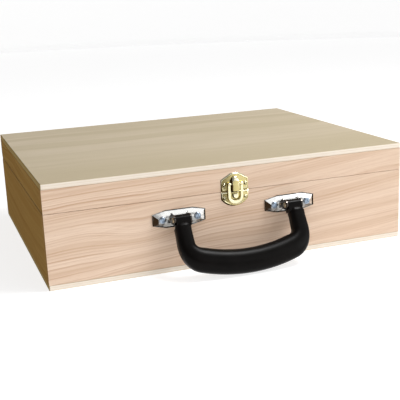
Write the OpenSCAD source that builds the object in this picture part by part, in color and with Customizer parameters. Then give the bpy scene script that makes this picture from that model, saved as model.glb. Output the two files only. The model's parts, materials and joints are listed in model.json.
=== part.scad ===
// Wooden poker chip case: a framed box with a hinged lid, a loop latch,
// a swinging carrying handle and two lift-out chip trays.
// Units are millimetres. The origin is the centre of the underside,
// +X runs to the right, the front (handle side) faces -Y and +Z is up.

/* [Case] */
// Outside width of the case, left to right
case_w = 350; // [350:5:420]
// Outside depth of the case, front to back
case_d = 280; // [280:5:340]
// Outside height of the closed case
case_h = 95; // [95:1:110]
// Height of the lid, its top panel included
lid_h = 26.5; // [26:0.5:34]
// Thickness of the frame boards
board_t = 9; // [9:0.5:12]
// Thickness of the top and bottom panels
panel_t = 5; // [4:0.5:6]

/* [Hinges] */
// Distance of each hinge's middle from the centreline
hinge_x = 110; // [80:5:140]
// Length of each hinge along its pin
hinge_len = 30; // [24:1:40]
// Outside radius of the hinge knuckles
knuckle_r = 2; // [1.8:0.1:2.2]
// Radius of the hinge pins
hinge_pin_r = 0.9; // [0.8:0.05:1]
// Thickness of the hinge leaves
leaf_t = 0.9; // [0.8:0.1:1]
// How far the hinge axis lies inside the back face
hinge_inset = 3; // [2.8:0.1:3.4]
// Angle at which the chamfered back edges meet and stop the lid
lid_open = 105; // [95:1:115]

/* [Handle] */
// Distance of each handle pivot from the centreline
pivot_x = 54.5; // [52:0.5:60]
// Height of the handle pivots above the underside
pivot_z = 50.8; // [50:0.1:52]
// Distance of the handle pivots in front of the front board
pivot_out = 8.5; // [8.5:0.1:10]
// Distance from the pivots to the middle of the grip bar
grip_drop = 45.5; // [44:0.5:47]
// Height of the grip's section, in the plane of the handle
grip_h = 22.6; // [20:0.2:24]
// Thickness of the grip's section, across the plane of the handle
grip_t = 16.2; // [15:0.2:16.4]
// Rounding radius of the grip's section
grip_round = 7.4; // [5:0.2:7.6]
// Radius of the handle pins
handle_pin_r = 1.5; // [1.3:0.1:1.7]

/* [Handle brackets] */
// Width of a bracket
bracket_w = 50; // [46:1:54]
// Height of a bracket
bracket_h = 16.4; // [15.6:0.2:18]
// How far the bracket's flat middle stands off the board
bracket_rise = 3.5; // [3:0.1:3.6]
// Sheet thickness of the bracket
bracket_t = 1; // [0.8:0.1:1.2]
// Distance of each bracket screw from the pivot's middle
screw_x = 16.5; // [16:0.5:18]

/* [Latch] */
// Width of the latch plates
latch_w = 27; // [26:0.5:30]
// Sheet thickness of the latch plates
latch_t = 0.8; // [0.6:0.1:1]
// Height of the loop's pivot above the seam
loop_up = 7; // [6.5:0.5:8]
// Height of the catch below the seam
catch_down = 4.7; // [4.5:0.1:5]
// Half the width of the loop, outside
loop_r = 7.4; // [7.3:0.1:8.2]

/* [Inside] */
// Radius of a chip channel
chip_r = 19.9; // [19.7:0.1:20.1]
// Distance between neighbouring channels
chip_pitch = 40.7; // [40.5:0.1:41]
// Channels in each tray
tray_rows = 4; // [2:1:4]
// Inside length of a channel, for fifty chips
channel_len = 170; // [120:5:170]
// Depth of a channel below the tray's top
channel_depth = 15; // [12:0.5:16]
// Thickness of the foam pad in the lid
pad_t = 10; // [6:1:17]

/* [Hidden] */

$fn = 48;
eps = 0.01;
// Radial gap between a pin and what turns on it, or a screw and its hole
running_gap = 0.05;

// Case
front_y = -case_d / 2;
back_y = case_d / 2;
seam_z = case_h - lid_h;
seam_gap = 0.3;
side_len = case_d - 2 * board_t;
inner_w = case_w - 2 * board_t;
base_board_h = seam_z - seam_gap / 2 - panel_t;
lid_z = seam_z + seam_gap / 2;
lid_board_h = case_h - panel_t - lid_z;

// Hinges
hinge_y = back_y - hinge_inset;
leaf_w = board_t - hinge_inset;
leaf_low = seam_gap / 2;
leaf_top = leaf_low + leaf_t;
stop_slack = 3;
fit_gap = 0.1;
barrel_gap = 0.3;
knuckle_len = hinge_len / 3;
knuckle_gap = 0.2;
hinge_screw_x = knuckle_len;
hinge_screw_y = 4.1;
hinge_screw_r = 0.8;
hinge_screw_head_r = 1.5;
hinge_screw_head_h = 0.7;
hinge_screw_len = 9;
hinge_screw_sink = 0.1;

// Handle
ear_gap = 13.8;
ear_t = 1.2;
ear_r = 4.6;
rivet_r = 2.4;
rivet_h = 1;
head_w = 13.2;
head_r = 4.6;
leg_x = pivot_x + 1;
leg_start = 6;
leg_half = [7.2, 5.2];
leg_round = 4;
leg_growth = 0.15;
leg_steps = 4;
corner_steps = 7;
bar_steps = 12;
round_steps = 5;
grip_half = [grip_h / 2, grip_t / 2];
bar_r = 150;
corner_r = 17;
floor_gap = 0.05;
core_t = 1.2;
core_w = 7;
core_end = 3;
// The handle leans out until its grip rests on the surface that the case stands on
reach = grip_drop + grip_half[0] - grip_round;
lean = grip_half[1] - grip_round;
handle_tilt = atan(lean / reach) + acos((pivot_z - grip_round - floor_gap) / norm([reach, lean]));
corner_centre = [leg_x - corner_r,
    grip_drop - bar_r + sqrt(pow(bar_r - corner_r, 2) - pow(leg_x - corner_r, 2))];
corner_sweep = atan2(corner_centre[1] - grip_drop + bar_r, corner_centre[0]);

// Brackets
bracket_end_h = 10.6;
bracket_shoulder = 12.8;
bracket_flat_w = 43;
bracket_flat_h = 7;
bracket_flat_end_h = 6;
bracket_screw_r = 1.7;
bracket_screw_head_r = 3.2;
bracket_screw_head_h = 2;
bracket_screw_len = 10.5;
slot_len = 3.8;
slot_w = 0.7;

// Latch
plate_gap = 0.4;
hasp_h = 16.6;
hasp_shoulder = 5.4;
hasp_crown_w = 8;
keeper_side = 7;
keeper_h = 14;
hump_r = 4.1;
hump_out = 4.3;
hump_top = 9.8;
loop_out = 2.6;
loop_arm_w = 2.6;
loop_arm_t = 1.5;
loop_eye_r = 1.55;
loop_pin_r = 0.75;
loop_centre_down = 4.6;
catch_r = 2.5;
catch_out = 4.2;
nail_x = 10.5;
nail_up = 6;
nail_down = 6.3;
nail_r = 0.6;
nail_head_r = 1.15;
nail_ring_r = 2;
nail_ring_h = 0.45;
nail_len = 7.5;

// Inside
tray_gap = 0.5;
tray_floor = 6;
tray_wall = 6;
tray_skin = 2;
tray_w = (inner_w - 3 * tray_gap) / 2;
tray_d = channel_len + 2 * tray_wall;
tray_h = channel_depth + tray_floor;
bearer_h = 15;
bearer_w = 12;
tray_z = panel_t + bearer_h;
tray_back_y = back_y - board_t - tray_gap;
tray_mid_y = tray_back_y - tray_d / 2;
divider_t = 6;
divider_h = 36;
divider_y = tray_back_y - tray_d - tray_gap - divider_t;
bay_front_y = front_y + board_t;
card_divider_x = 70;
felt_t = 1;
pad_side_gap = 2.5;

// ---- Shared shapes ----

// A cylinder along X, centred on the origin
module rod_x(r, length) {
    rotate([0, 90, 0])
        cylinder(r = r, h = length, center = true);
}

// A cylinder that starts at y = 0 and runs back into the board, towards +Y
module rod_back(r, length) {
    rotate([-90, 0, 0])
        cylinder(r = r, h = length);
}

// A [y, z] outline extruded along X, centred on the origin
module extrude_x(length) {
    rotate([90, 0, 90])
        linear_extrude(length, center = true)
            children();
}

// An [x, z] outline extruded towards -Y from y = 0
module extrude_front(depth) {
    rotate([90, 0, 0])
        linear_extrude(depth)
            children();
}

// The children on the right, and mirrored on the left
module both_sides() {
    children();
    mirror([1, 0, 0])
        children();
}

// A block given by its lowest corner and its size
module block(corner, size) {
    translate(corner)
        cube(size);
}

// ---- Frame boards and panels ----

// Places the children at each nail of one latch plate, on the front face
module at_nails(z) {
    for (x = [-nail_x, nail_x])
        translate([x, front_y, z])
            children();
}

// Places the children at each bracket screw, on the front face
module at_bracket_screws() {
    for (side = [-1, 1], x = [-screw_x, screw_x])
        translate([side * pivot_x + x, front_y, pivot_z])
            children();
}

// Places the children at each hinge screw, on the seam
module at_hinge_screws(z) {
    for (side = [-1, 1], x = [-hinge_screw_x, hinge_screw_x])
        translate([side * hinge_x + x, hinge_y - hinge_screw_y, z])
            children();
}

// The room that the two hinges take out of a back board's edge: the barrels, one pair of leaves,
// and the chamfer that lets the lid swing past upright; up is 1 for the lid and -1 for the base
module hinge_room(up) {
    chamfer_drop = (hinge_inset + 1) * tan((lid_open + stop_slack) / 2);
    translate([0, hinge_y, seam_z]) {
        for (side = [-1, 1])
            translate([side * hinge_x, 0, 0]) {
                rod_x(knuckle_r + barrel_gap, hinge_len + 2 * barrel_gap);
                translate([-hinge_len / 2 - fit_gap, -leaf_w - fit_gap, up > 0 ? 0 : -leaf_top])
                    cube([hinge_len + 2 * fit_gap, leaf_w + fit_gap, leaf_top]);
            }
        extrude_x(case_w + 2)
            polygon([[0, 0], [hinge_inset + 1, 0], [hinge_inset + 1, up * chamfer_drop]]);
    }
}

module bottom_panel() {
    color("#d8c2a0")
        block([-case_w / 2, front_y, 0], [case_w, case_d, panel_t]);
}

module base_front_board() {
    color("#dcbb98")
        difference() {
            block([-case_w / 2, front_y, panel_t], [case_w, board_t, base_board_h]);
            at_nails(seam_z - nail_down)
                translate([0, -eps, 0])
                    rod_back(nail_r + running_gap, nail_len);
            at_bracket_screws()
                translate([0, -eps, 0])
                    rod_back(bracket_screw_r + running_gap, bracket_screw_len - bracket_rise + 0.5);
        }
}

module base_back_board() {
    color("#d5b591")
        difference() {
            block([-case_w / 2, back_y - board_t, panel_t], [case_w, board_t, base_board_h]);
            hinge_room(-1);
            at_hinge_screws(seam_z - hinge_screw_len - 1)
                cylinder(r = hinge_screw_r + running_gap, h = hinge_screw_len + 2);
        }
}

// A side board between the front and back boards; side is -1 on the left
module side_board(side, z, height) {
    block([side > 0 ? case_w / 2 - board_t : -case_w / 2, front_y + board_t, z], [board_t, side_len, height]);
}

module base_left_board() {
    color("#b89c78")
        side_board(-1, panel_t, base_board_h);
}

module base_right_board() {
    color("#b89c78")
        side_board(1, panel_t, base_board_h);
}

module top_panel() {
    color("#cfc0a0")
        block([-case_w / 2, front_y, case_h - panel_t], [case_w, case_d, panel_t]);
}

module lid_front_board() {
    color("#dcbb98")
        difference() {
            block([-case_w / 2, front_y, lid_z], [case_w, board_t, lid_board_h]);
            at_nails(seam_z + nail_up)
                translate([0, -eps, 0])
                    rod_back(nail_r + running_gap, nail_len);
        }
}

module lid_back_board() {
    color("#d5b591")
        difference() {
            block([-case_w / 2, back_y - board_t, lid_z], [case_w, board_t, lid_board_h]);
            hinge_room(1);
            at_hinge_screws(seam_z - 1)
                cylinder(r = hinge_screw_r + running_gap, h = hinge_screw_len + 2);
        }
}

module lid_left_board() {
    color("#b89c78")
        side_board(-1, lid_z, lid_board_h);
}

module lid_right_board() {
    color("#b89c78")
        side_board(1, lid_z, lid_board_h);
}

// A pad glued under the top panel
module lid_pad() {
    color("#2f5a3c")
        block([-inner_w / 2 + pad_side_gap, front_y + board_t + pad_side_gap, case_h - panel_t - pad_t],
            [inner_w - 2 * pad_side_gap, side_len - 2 * pad_side_gap, pad_t]);
}

// ---- Inside of the base ----

module tray_bearer_front() {
    color("#c8ab84")
        block([-inner_w / 2, divider_y + divider_t, panel_t], [inner_w, bearer_w, bearer_h]);
}

module tray_bearer_back() {
    color("#c8ab84")
        block([-inner_w / 2, back_y - board_t - bearer_w, panel_t], [inner_w, bearer_w, bearer_h]);
}

module tray_divider() {
    color("#c8ab84")
        block([-inner_w / 2, divider_y, panel_t], [inner_w, divider_t, divider_h]);
}

// A short board that splits the card bay; side is -1 on the left
module card_divider(side) {
    color("#c8ab84")
        block([side * card_divider_x - divider_t / 2, bay_front_y, panel_t],
            [divider_t, divider_y - bay_front_y, divider_h]);
}

module card_divider_left() {
    card_divider(-1);
}

module card_divider_right() {
    card_divider(1);
}

// Felt on the floor of the three card bays
module card_bay_felt() {
    split = card_divider_x + divider_t / 2;
    depth = divider_y - bay_front_y;
    color("#2f5a3c") {
        block([-inner_w / 2, bay_front_y, panel_t], [inner_w / 2 - split, depth, felt_t]);
        block([-split + divider_t, bay_front_y, panel_t], [2 * (split - divider_t), depth, felt_t]);
        block([split, bay_front_y, panel_t], [inner_w / 2 - split, depth, felt_t]);
    }
}

// The row of channels, as cylinders of radius r and the given length along Y
module channel_rods(r, length) {
    for (row = [0 : tray_rows - 1])
        translate([(row - (tray_rows - 1) / 2) * chip_pitch, 0, tray_h - channel_depth + chip_r])
            rotate([90, 0, 0])
                cylinder(r = r, h = length, center = true, $fn = 64);
}

// One moulded tray, hollow underneath, with its middle above the origin
module tray_shape() {
    inside = [tray_w - 2 * tray_skin, tray_d - 2 * tray_skin, tray_h - tray_skin];
    difference() {
        block([-tray_w / 2, -tray_d / 2, 0], [tray_w, tray_d, tray_h]);
        channel_rods(chip_r, channel_len);
        difference() {
            block([-inside[0] / 2, -inside[1] / 2, -eps], inside);
            channel_rods(chip_r + tray_skin, channel_len + 2 * tray_skin);
        }
    }
}

// side is -1 on the left
module chip_tray(side) {
    color("#26282b")
        translate([side * (tray_w + tray_gap) / 2, tray_mid_y, tray_z])
            tray_shape();
}

module chip_tray_left() {
    chip_tray(-1);
}

module chip_tray_right() {
    chip_tray(1);
}

// ---- Handle and its brackets ----

// A long octagon with the given full size and the given height at its ends
module bracket_outline(size, end_h) {
    x = size[0] / 2;
    z = size[1] / 2;
    corner = [bracket_shoulder, end_h / 2];
    polygon([
        [-x, -corner[1]], [-corner[0], -z], [corner[0], -z], [x, -corner[1]],
        [x, corner[1]], [corner[0], z], [-corner[0], z], [-x, corner[1]]
    ]);
}

// A raised plate with sloping sides, grown inwards by inset
module bracket_dome(inset) {
    hull() {
        translate([0, inset > 0 ? eps : 0, 0])
            extrude_front(eps)
                bracket_outline([bracket_w - 2 * inset, bracket_h - 2 * inset], bracket_end_h - inset);
        translate([0, -bracket_rise + inset + eps, 0])
            extrude_front(eps)
                bracket_outline([bracket_flat_w, bracket_flat_h], bracket_flat_end_h);
    }
}

// One ear, in the plane x = 0 and ear_t thick towards +X, relative to the bracket's middle
module bracket_ear() {
    translate([ear_t / 2, -pivot_out, 0])
        rod_x(ear_r, ear_t);
    translate([0, -pivot_out, -ear_r])
        cube([ear_t, pivot_out - bracket_rise / 2, 2 * ear_r]);
}

// A pressed bracket with its middle on the front face
module handle_bracket() {
    color("#c9ccd0")
        difference() {
            union() {
                difference() {
                    bracket_dome(0);
                    bracket_dome(bracket_t);
                }
                both_sides()
                    translate([ear_gap / 2, 0, 0])
                        bracket_ear();
            }
            translate([0, -pivot_out, 0])
                rod_x(handle_pin_r, ear_gap + 4 * ear_t);
            for (x = [-screw_x, screw_x])
                translate([x, -bracket_rise - 1, 0])
                    rod_back(bracket_screw_r + running_gap, bracket_rise + 1);
        }
}

module handle_bracket_left() {
    translate([-pivot_x, front_y, pivot_z])
        handle_bracket();
}

module handle_bracket_right() {
    translate([pivot_x, front_y, pivot_z])
        handle_bracket();
}

// A riveted pin through both ears and the handle's end
module handle_pin() {
    color("#b8bbbf")
        translate([0, front_y - pivot_out, pivot_z]) {
            rod_x(handle_pin_r, ear_gap + 2 * ear_t);
            both_sides()
                translate([ear_gap / 2 + ear_t + rivet_h / 2, 0, 0])
                    rod_x(rivet_r, rivet_h);
        }
}

module handle_pin_left() {
    translate([-pivot_x, 0, 0])
        handle_pin();
}

module handle_pin_right() {
    translate([pivot_x, 0, 0])
        handle_pin();
}

// A pan head screw whose head sits in front of the origin
module pan_screw() {
    rod_back(bracket_screw_r, bracket_screw_len);
    translate([0, -bracket_screw_head_h, 0])
        difference() {
            rod_back(bracket_screw_head_r, bracket_screw_head_h);
            for (turn = [0, 90])
                rotate([0, turn, 0])
                    translate([-slot_len / 2, -eps, -slot_w / 2])
                        cube([slot_len, bracket_screw_head_h / 2, slot_w]);
        }
}

module bracket_screws() {
    color("#a9b6c4")
        at_bracket_screws()
            translate([0, -bracket_rise, 0])
                pan_screw();
}

// Puts a shape drawn in the handle's own plane, with x to the right, y up from the pivots
// and z through its thickness, where the handle hangs
module in_handle_plane() {
    translate([0, front_y - pivot_out, pivot_z])
        rotate([90 - handle_tilt, 0, 0])
            children();
}

// A direction in the handle's plane, turned by the given angle from +X towards straight down
function across(angle) = [cos(angle), -sin(angle)];

// How far the section has grown at a step of the corner
function corner_growth(i) =
    let (f = i / corner_steps)
    leg_growth + (1 - leg_growth) * f * f * (3 - 2 * f);

// Stations along the handle's middle line, from a leg's top on the right, through the bar, to the left one.
// Each is [point, angle of the outward side, how far the section has grown from the leg's to the grip's]
function handle_line(top_drop) = concat(
    [for (i = [0 : leg_steps - 1]) let (f = i / leg_steps)
        [[leg_x, -top_drop - f * (corner_centre[1] - top_drop)], 0, leg_growth * f]],
    [for (i = [0 : corner_steps - 1]) let (angle = corner_sweep * i / corner_steps)
        [[corner_centre[0], -corner_centre[1]] + corner_r * across(angle), angle, corner_growth(i)]],
    [for (i = [0 : bar_steps]) let (angle = corner_sweep + (180 - 2 * corner_sweep) * i / bar_steps)
        [[0, bar_r - grip_drop] + bar_r * across(angle), angle, 1]],
    [for (i = [corner_steps - 1 : -1 : 0]) let (angle = corner_sweep * i / corner_steps)
        [[-corner_centre[0], -corner_centre[1]] + corner_r * across(180 - angle), 180 - angle,
            corner_growth(i)]],
    [for (i = [leg_steps - 1 : -1 : 0]) let (f = i / leg_steps)
        [[-leg_x, -top_drop - f * (corner_centre[1] - top_drop)], 180, leg_growth * f]]
);

// Points round a rounded rectangle, half[0] by half[1] from its middle
function section_points(half, r) = [
    for (quarter = [0 : 3], i = [0 : round_steps - 1])
        let (
            angle = 90 * quarter + 90 * i / (round_steps - 1),
            sx = quarter == 0 || quarter == 3 ? 1 : -1,
            sy = quarter < 2 ? 1 : -1
        )
        [sx * (half[0] - r) + r * cos(angle), sy * (half[1] - r) + r * sin(angle)]
];

// One ring of points at a station
function handle_ring(station) =
    let (
        grown = station[2],
        more = grip_half - leg_half,
        half = leg_half + [grown * more[0], sqrt(grown) * more[1]],
        out = across(station[1])
    )
    [for (q = section_points(half, leg_round + grown * (grip_round - leg_round)))
        [station[0][0] + q[0] * out[0], station[0][1] + q[0] * out[1], q[1]]];

// The moulded bow, one closed skin from one leg's top to the other
module handle_bow() {
    line = handle_line(leg_start);
    sides = 4 * round_steps;
    last = len(line) - 1;
    polyhedron(
        points = [for (station = line) each handle_ring(station)],
        faces = concat(
            [[for (i = [0 : sides - 1]) i]],
            [for (ring = [0 : last - 1], i = [0 : sides - 1])
                let (next = (i + 1) % sides, near = ring * sides, far = near + sides)
                [near + next, near + i, far + i, far + next]],
            [[for (i = [sides - 1 : -1 : 0]) last * sides + i]]
        )
    );
}

// The steel strip inside the handle, from one head to the other
module core_shape() {
    line = handle_line(core_end);
    last = len(line) - 1;
    linear_extrude(core_w, center = true)
        polygon(concat(
            [for (station = line) station[0] + core_t / 2 * across(station[1])],
            [for (i = [last : -1 : 0]) line[i][0] - core_t / 2 * across(line[i][1])]
        ));
}

module handle_grip() {
    color("#1d1b1d")
        in_handle_plane()
            difference() {
                union() {
                    handle_bow();
                    both_sides() {
                        translate([pivot_x, 0, 0])
                            rod_x(head_r, head_w);
                        block([pivot_x - head_w / 2, -leg_start - 1, -head_r],
                            [head_w, leg_start + 1, 2 * head_r]);
                    }
                }
                core_shape();
                both_sides()
                    translate([pivot_x, 0, 0])
                        rod_x(handle_pin_r + running_gap, head_w + 1);
            }
}

module handle_core() {
    color("#7c8086")
        in_handle_plane()
            core_shape();
}

// ---- Latch ----

// A nail with a domed head standing on a small ring, its head in front of the origin
module latch_nail() {
    translate([0, -latch_t, 0])
        rod_back(nail_r, nail_len);
    translate([0, -latch_t - nail_ring_h, 0])
        rod_back(nail_ring_r, nail_ring_h);
    translate([0, -latch_t - nail_ring_h, 0])
        rotate([-90, 0, 0])
            intersection() {
                sphere(r = nail_head_r);
                translate([0, 0, -nail_head_r])
                    cylinder(r = nail_head_r, h = nail_head_r + eps);
            }
}

module nails(z) {
    color("#c9b169")
        at_nails(z)
            latch_nail();
}

module latch_keeper_nails() {
    nails(seam_z - nail_down);
}

module latch_hasp_nails() {
    nails(seam_z + nail_up);
}

// The lower plate with a rounded foot, and the catch that the loop drops over
module latch_keeper_plate() {
    foot = keeper_h - keeper_side;
    foot_r = (pow(latch_w / 2, 2) + pow(foot, 2)) / (2 * foot);
    color("#d3bf7c")
        difference() {
            translate([0, front_y, seam_z - plate_gap / 2]) {
                extrude_front(latch_t)
                    intersection() {
                        translate([0, -keeper_h / 2])
                            square([latch_w, keeper_h], center = true);
                        translate([0, foot_r - keeper_h])
                            circle(r = foot_r, $fn = 96);
                    }
                translate([0, -latch_t, plate_gap / 2 - catch_down])
                    extrude_front(catch_out - latch_t) {
                        circle(r = catch_r);
                        translate([-catch_r, 0])
                            square([2 * catch_r, catch_r]);
                    }
            }
            at_nails(seam_z - nail_down)
                translate([0, -2, 0])
                    rod_back(nail_r, 3);
        }
}

// The upper plate, with the hump that carries the loop's pin
module latch_hasp_plate() {
    shoulder_z = hasp_h - hasp_shoulder;
    color("#d3bf7c")
        difference() {
            translate([0, front_y, seam_z + plate_gap / 2]) {
                extrude_front(latch_t)
                    polygon([
                        [-latch_w / 2, 0], [latch_w / 2, 0], [latch_w / 2, shoulder_z],
                        [hasp_crown_w / 2, hasp_h], [-hasp_crown_w / 2, hasp_h], [-latch_w / 2, shoulder_z]
                    ]);
                intersection() {
                    union() {
                        cylinder(r = hump_out, h = hump_top);
                        translate([0, 0, hump_top])
                            sphere(r = hump_out);
                    }
                    block([-hump_r, -hump_out, 0], [2 * hump_r, hump_out, hasp_h]);
                }
            }
            translate([0, front_y - loop_out, seam_z + loop_up])
                rod_x(loop_pin_r, 4 * hump_r);
            at_nails(seam_z + nail_up)
                translate([0, -2, 0])
                    rod_back(nail_r, 3);
        }
}

// The pin that the loop turns on, held in the hump
module latch_pin() {
    color("#c9b169")
        translate([0, front_y - loop_out, seam_z + loop_up])
            rod_x(loop_pin_r, 2 * loop_r + 0.6);
}

// The loop: two arms with an eye at the top of each, joined by a half ring below
module latch_loop() {
    arm_len = loop_up + loop_centre_down;
    color("#dccb8c")
        translate([0, front_y - loop_out, seam_z + loop_up])
            difference() {
                union() {
                    translate([0, loop_arm_t / 2, 0])
                        extrude_front(loop_arm_t)
                            translate([0, -arm_len])
                                difference() {
                                    union() {
                                        circle(r = loop_r, $fn = 64);
                                        translate([-loop_r, 0])
                                            square([2 * loop_r, arm_len]);
                                    }
                                    circle(r = loop_r - loop_arm_w, $fn = 64);
                                    translate([loop_arm_w - loop_r, 0])
                                        square([2 * (loop_r - loop_arm_w), arm_len + 1]);
                                }
                    both_sides()
                        translate([loop_r - loop_arm_w / 2, 0, 0])
                            rod_x(loop_eye_r, loop_arm_w);
                }
                rod_x(loop_pin_r + running_gap, 3 * loop_r);
            }
}

// ---- Hinges ----

// The knuckles of one hinge: the middle one is on the lid's leaf, the outer two on the base's.
// gap is the room left round them, 0 for the knuckles themselves
module knuckles(middle, gap) {
    offsets = middle ? [0] : [-knuckle_len, knuckle_len];
    trim = middle ? knuckle_gap : 0;
    for (x = offsets)
        translate([x, 0, 0])
            rod_x(knuckle_r + gap, knuckle_len - trim + gap);
}

// A countersunk screw below the origin, its flat head at the top
module hinge_screw(gap) {
    translate([0, 0, -hinge_screw_head_h])
        cylinder(r1 = hinge_screw_r + gap, r2 = hinge_screw_head_r + gap, h = hinge_screw_head_h);
    translate([0, 0, -hinge_screw_len])
        cylinder(r = hinge_screw_r + gap, h = hinge_screw_len - hinge_screw_head_h + eps);
}

// Turns what points down from the seam to point up on the lid's side
module on_side(up) {
    mirror([0, 0, up > 0 ? 1 : 0])
        children();
}

// One leaf with its knuckles and countersunk holes; up is 1 for the lid and -1 for the base
module hinge_leaf(side, up) {
    middle = up > 0;
    color("#cdb970")
        translate([side * hinge_x, hinge_y, seam_z])
            difference() {
                union() {
                    knuckles(middle, 0);
                    difference() {
                        on_side(up)
                            block([-hinge_len / 2, -leaf_w, -leaf_top], [hinge_len, leaf_w, leaf_t]);
                        knuckles(!middle, barrel_gap);
                    }
                }
                rod_x(hinge_pin_r + (middle ? running_gap : 0), hinge_len + 1);
                for (x = [-hinge_screw_x, hinge_screw_x])
                    translate([x, -hinge_screw_y, 0])
                        on_side(up)
                            translate([0, 0, -leaf_low - hinge_screw_sink]) {
                                hinge_screw(running_gap);
                                cylinder(r = hinge_screw_head_r + running_gap, h = 1);
                            }
            }
}

module hinge_screws(up) {
    color("#cdb970")
        at_hinge_screws(seam_z)
            on_side(up)
                translate([0, 0, -leaf_low - hinge_screw_sink])
                    hinge_screw(0);
}

module hinge_base_screws() {
    hinge_screws(-1);
}

module hinge_lid_screws() {
    hinge_screws(1);
}

module hinge_left_base_leaf() {
    hinge_leaf(-1, -1);
}

module hinge_right_base_leaf() {
    hinge_leaf(1, -1);
}

module hinge_left_lid_leaf() {
    hinge_leaf(-1, 1);
}

module hinge_right_lid_leaf() {
    hinge_leaf(1, 1);
}

module hinge_pin(side) {
    color("#b9a662")
        translate([side * hinge_x, hinge_y, seam_z])
            rod_x(hinge_pin_r, hinge_len);
}

module hinge_left_pin() {
    hinge_pin(-1);
}

module hinge_right_pin() {
    hinge_pin(1);
}

bottom_panel();
base_front_board();
base_back_board();
base_left_board();
base_right_board();
tray_bearer_front();
tray_bearer_back();
tray_divider();
card_divider_left();
card_divider_right();
card_bay_felt();
chip_tray_left();
chip_tray_right();
handle_bracket_left();
handle_bracket_right();
handle_pin_left();
handle_pin_right();
bracket_screws();
handle_grip();
handle_core();
latch_keeper_plate();
latch_keeper_nails();
latch_hasp_plate();
latch_hasp_nails();
latch_pin();
latch_loop();
hinge_left_base_leaf();
hinge_right_base_leaf();
hinge_left_lid_leaf();
hinge_right_lid_leaf();
hinge_left_pin();
hinge_right_pin();
hinge_base_screws();
hinge_lid_screws();
top_panel();
lid_front_board();
lid_back_board();
lid_left_board();
lid_right_board();
lid_pad();
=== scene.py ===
"""The looks of a wooden poker chip case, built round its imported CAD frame. All lengths are metres."""

import json
import math

import bmesh
import bpy
import numpy as np
from mathutils import Matrix, Vector


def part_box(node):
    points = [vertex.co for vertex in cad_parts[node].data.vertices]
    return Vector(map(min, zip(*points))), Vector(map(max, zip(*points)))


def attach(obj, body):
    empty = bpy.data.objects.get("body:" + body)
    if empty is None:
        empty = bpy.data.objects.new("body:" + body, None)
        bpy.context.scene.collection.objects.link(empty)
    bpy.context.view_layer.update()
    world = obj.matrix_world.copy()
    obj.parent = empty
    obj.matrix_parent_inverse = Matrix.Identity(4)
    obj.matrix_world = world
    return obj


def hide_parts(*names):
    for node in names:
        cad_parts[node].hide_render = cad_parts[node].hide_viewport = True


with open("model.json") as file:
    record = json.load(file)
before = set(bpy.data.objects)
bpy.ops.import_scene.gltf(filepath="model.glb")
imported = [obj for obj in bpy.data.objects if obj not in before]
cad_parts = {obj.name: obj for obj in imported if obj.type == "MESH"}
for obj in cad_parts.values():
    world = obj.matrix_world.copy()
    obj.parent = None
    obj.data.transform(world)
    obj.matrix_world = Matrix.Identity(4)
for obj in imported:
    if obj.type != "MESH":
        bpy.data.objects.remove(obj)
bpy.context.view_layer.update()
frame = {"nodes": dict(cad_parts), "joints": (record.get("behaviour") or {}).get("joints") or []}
scene = bpy.context.scene
mm = 0.001
tau = 2 * math.pi


# ---- Places taken from the frame ----

def low(node):
    """A node's lowest corner."""
    return Vector(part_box(node)[0])


def high(node):
    """A node's highest corner."""
    return Vector(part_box(node)[1])


def middle(node):
    """The middle of a node's box."""
    return (low(node) + high(node)) / 2


def joint_place(name):
    """Where a joint's axis lies."""
    return Vector(next(j["pos_m"] for j in frame["joints"] if j["name"] == name))


case_low = low("bottom_panel")
front_y = case_low.y
seam_z = (high("base_left_board").z + low("lid_left_board").z) / 2


# ---- Materials ----

def linear(red, green, blue):
    """A colour given as 0 to 255 in sRGB, as the shader's linear colour."""
    def one(value):
        value /= 255
        return value / 12.92 if value <= 0.04045 else ((value + 0.055) / 1.055) ** 2.4
    return one(red), one(green), one(blue), 1.0


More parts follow.
